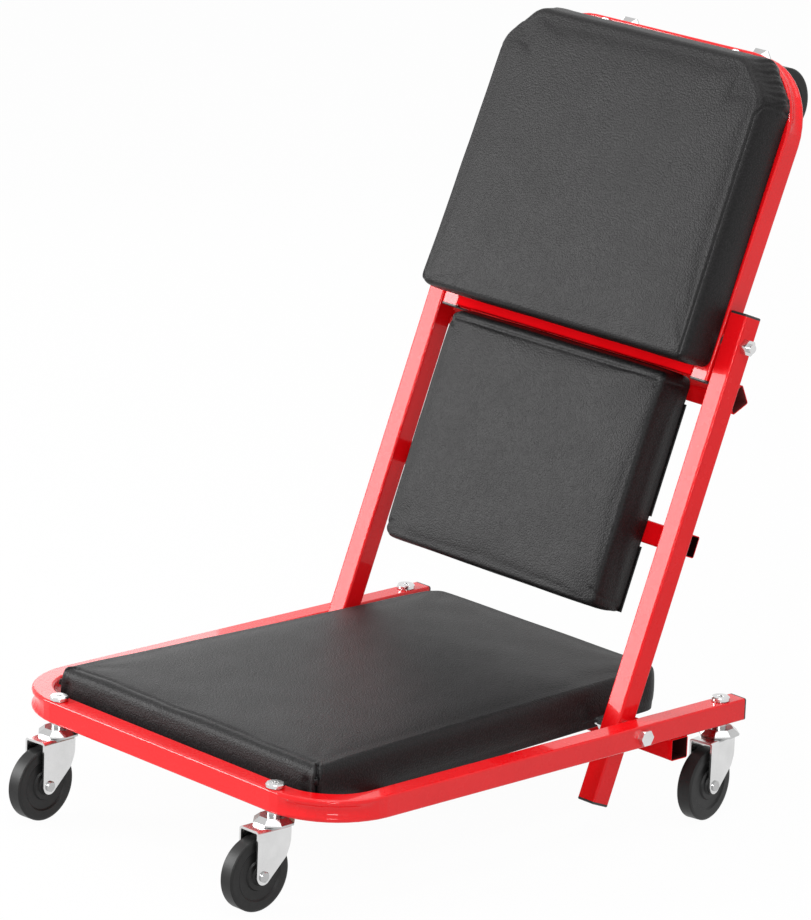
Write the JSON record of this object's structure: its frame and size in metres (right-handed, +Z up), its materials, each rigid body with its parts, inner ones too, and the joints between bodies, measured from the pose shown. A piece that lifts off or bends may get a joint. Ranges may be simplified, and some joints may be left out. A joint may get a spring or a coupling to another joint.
{
  "type": "folding mechanics creeper",
  "caption": "Folding mechanics creeper with a bent red tube base, hinged padded back and head frames and swivel casters, laid flat to roll under a vehicle or folded into a rolling stool.",
  "frame": {"origin": "on the floor, midway between the front-most and rear-most points in the sitting pose of the picture", "axes": "+Z up, +Y from the front bar to the rear, +X to the right of a person who faces the rear"},
  "size_m": [0.4474, 0.7173, 0.6605],
  "materials": {
    "red_paint": "glossy powder coat",
    "black_leather": "fine grained artificial leather",
    "plywood": "bare plywood",
    "bright_zinc": "bright zinc plate",
    "black_plastic": "moulded plastic",
    "caster_wheel": "hard black tyre"
  },
  "bodies": {
    "base": {"base_cap_nuts": "bright_zinc", "base_end_plugs": "black_plastic", "base_frame": "red_paint", "base_front_strap": "red_paint", "base_pad": "black_leather", "base_pad_board": "plywood", "base_pad_screws": "bright_zinc", "base_rear_crossbar": "red_paint", "caster_front_left_stem": "bright_zinc", "caster_front_right_stem": "bright_zinc", "caster_rear_left_stem": "bright_zinc", "caster_rear_right_stem": "bright_zinc", "lower_pivot_bolts": "bright_zinc", "lower_pivot_nuts": "bright_zinc", "lower_pivot_spacers": "bright_zinc"},
    "middle": {"middle_end_plugs": "black_plastic", "middle_lower_crossbar": "red_paint", "middle_pad": "black_leather", "middle_pad_board": "plywood", "middle_pad_screws": "bright_zinc", "middle_stop_crossbar": "red_paint", "middle_tube_left": "red_paint", "middle_tube_right": "red_paint", "upper_pivot_bolts": "bright_zinc", "upper_pivot_nuts": "bright_zinc", "upper_pivot_spacers": "bright_zinc"},
    "upper": {"caster_head_left_stem": "bright_zinc", "caster_head_right_stem": "bright_zinc", "upper_cap_nuts": "bright_zinc", "upper_crossbar": "red_paint", "upper_end_plugs": "black_plastic", "upper_frame": "red_paint", "upper_pad": "black_leather", "upper_pad_board": "plywood", "upper_pad_screws": "bright_zinc"},
    "front_left_swivel": {"caster_front_left_axle": "bright_zinc", "caster_front_left_fork": "bright_zinc"},
    "front_left_wheel": {"caster_front_left_wheel": "caster_wheel"},
    "front_right_swivel": {"caster_front_right_axle": "bright_zinc", "caster_front_right_fork": "bright_zinc"},
    "front_right_wheel": {"caster_front_right_wheel": "caster_wheel"},
    "head_left_swivel": {"caster_head_left_axle": "bright_zinc", "caster_head_left_fork": "bright_zinc"},
    "head_left_wheel": {"caster_head_left_wheel": "caster_wheel"},
    "head_right_swivel": {"caster_head_right_axle": "bright_zinc", "caster_head_right_fork": "bright_zinc"},
    "head_right_wheel": {"caster_head_right_wheel": "caster_wheel"},
    "rear_left_swivel": {"caster_rear_left_axle": "bright_zinc", "caster_rear_left_fork": "bright_zinc"},
    "rear_left_wheel": {"caster_rear_left_wheel": "caster_wheel"},
    "rear_right_swivel": {"caster_rear_right_axle": "bright_zinc", "caster_rear_right_fork": "bright_zinc"},
    "rear_right_wheel": {"caster_rear_right_wheel": "caster_wheel"}
  },
  "joints": [
    {"name": "back_fold", "type": "hinge", "parent": "base", "child": "middle", "pos_m": [0, 0.0582, 0.094], "axis": [1, 0, 0], "range_deg": [-68.5, 59.9]},
    {"name": "head_fold", "type": "hinge", "parent": "middle", "child": "upper", "pos_m": [0, 0.18477, 0.42031], "axis": [1, 0, 0], "range_deg": [-127.3, 12.9]},
    {"name": "front_left_swivel", "type": "hinge", "parent": "base", "child": "front_left_swivel", "pos_m": [-0.1423, -0.3053, 0.084], "axis": [0, 0, 1], "continuous": true},
    {"name": "front_left_roll", "type": "hinge", "parent": "front_left_swivel", "child": "front_left_wheel", "pos_m": [-0.14073, -0.32574, 0.0325], "axis": [0.9971, 0.0767, 0], "continuous": true},
    {"name": "front_right_swivel", "type": "hinge", "parent": "base", "child": "front_right_swivel", "pos_m": [0.1423, -0.3053, 0.084], "axis": [0, 0, 1], "continuous": true},
    {"name": "front_right_roll", "type": "hinge", "parent": "front_right_swivel", "child": "front_right_wheel", "pos_m": [0.14252, -0.3258, 0.0325], "axis": [0.9999, 0.0105, 0], "continuous": true},
    {"name": "rear_left_swivel", "type": "hinge", "parent": "base", "child": "rear_left_swivel", "pos_m": [-0.205, 0.1632, 0.084], "axis": [0, 0, 1], "continuous": true},
    {"name": "rear_left_roll", "type": "hinge", "parent": "rear_left_swivel", "child": "rear_left_wheel", "pos_m": [-0.20888, 0.14307, 0.0325], "axis": [0.982, -0.1891, 0], "continuous": true},
    {"name": "rear_right_swivel", "type": "hinge", "parent": "base", "child": "rear_right_swivel", "pos_m": [0.205, 0.1632, 0.084], "axis": [0, 0, 1], "continuous": true},
    {"name": "rear_right_roll", "type": "hinge", "parent": "rear_right_swivel", "child": "rear_right_wheel", "pos_m": [0.20888, 0.14307, 0.0325], "axis": [0.982, 0.1891, 0], "continuous": true},
    {"name": "head_left_swivel", "type": "hinge", "parent": "upper", "child": "head_left_swivel", "pos_m": [-0.082, 0.28642, 0.6396], "axis": [0, -0.9239, 0.3827], "continuous": true},
    {"name": "head_left_roll", "type": "hinge", "parent": "head_left_swivel", "child": "head_left_wheel", "pos_m": [-0.082, 0.32616, 0.60096], "axis": [1, 0, 0], "continuous": true},
    {"name": "head_right_swivel", "type": "hinge", "parent": "upper", "child": "head_right_swivel", "pos_m": [0.082, 0.28642, 0.6396], "axis": [0, -0.9239, 0.3827], "continuous": true},
    {"name": "head_right_roll", "type": "hinge", "parent": "head_right_swivel", "child": "head_right_wheel", "pos_m": [0.082, 0.32616, 0.60096], "axis": [1, 0, 0], "continuous": true}
  ]
}
